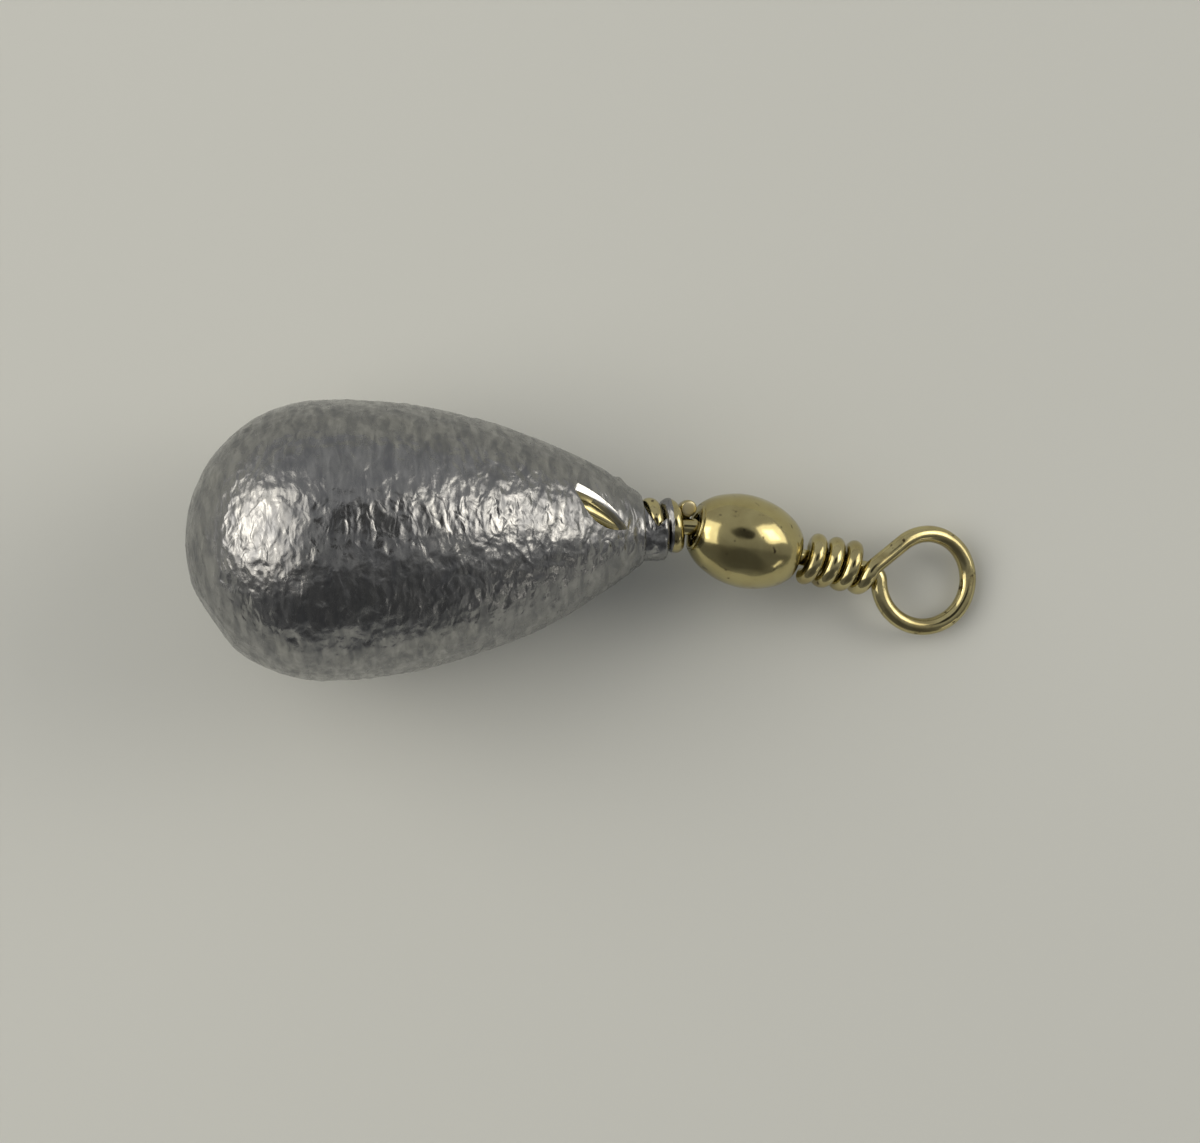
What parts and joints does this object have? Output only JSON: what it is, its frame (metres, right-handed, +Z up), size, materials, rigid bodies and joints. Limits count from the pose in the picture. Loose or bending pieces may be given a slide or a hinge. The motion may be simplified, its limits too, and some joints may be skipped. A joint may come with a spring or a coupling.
{
  "type": "fishing sinker",
  "caption": "Bell-shaped lead casting sinker with a brass barrel swivel cast into its nose; the swivel's wrapped wire eye takes the line and spins freely.",
  "frame": {"origin": "middle of the part's box, on the surface that it lies on", "axes": "+X from the lead's butt to the line eye, +Z up from that surface"},
  "size_m": [0.033, 0.0116, 0.0118],
  "materials": {
    "lead": "as cast, dull grey lead",
    "brass_wire": "drawn wire, tarnished",
    "brass_barrel": "polished, lightly stained"
  },
  "bodies": {
    "sinker": {"lead_body": "lead", "cast_in_eye": "brass_wire"},
    "barrel": {"swivel_barrel": "brass_barrel"},
    "eye": {"line_eye": "brass_wire"}
  },
  "joints": [
    {"name": "barrel_spin", "type": "hinge", "parent": "sinker", "child": "barrel", "pos_m": [0.00476, 0, 0.00348], "axis": [0.9159, -0.3082, -0.257], "continuous": true},
    {"name": "eye_spin", "type": "hinge", "parent": "barrel", "child": "eye", "pos_m": [0.0086, -0.00129, 0.0024], "axis": [0.9431, -0.2108, -0.257], "continuous": true}
  ]
}
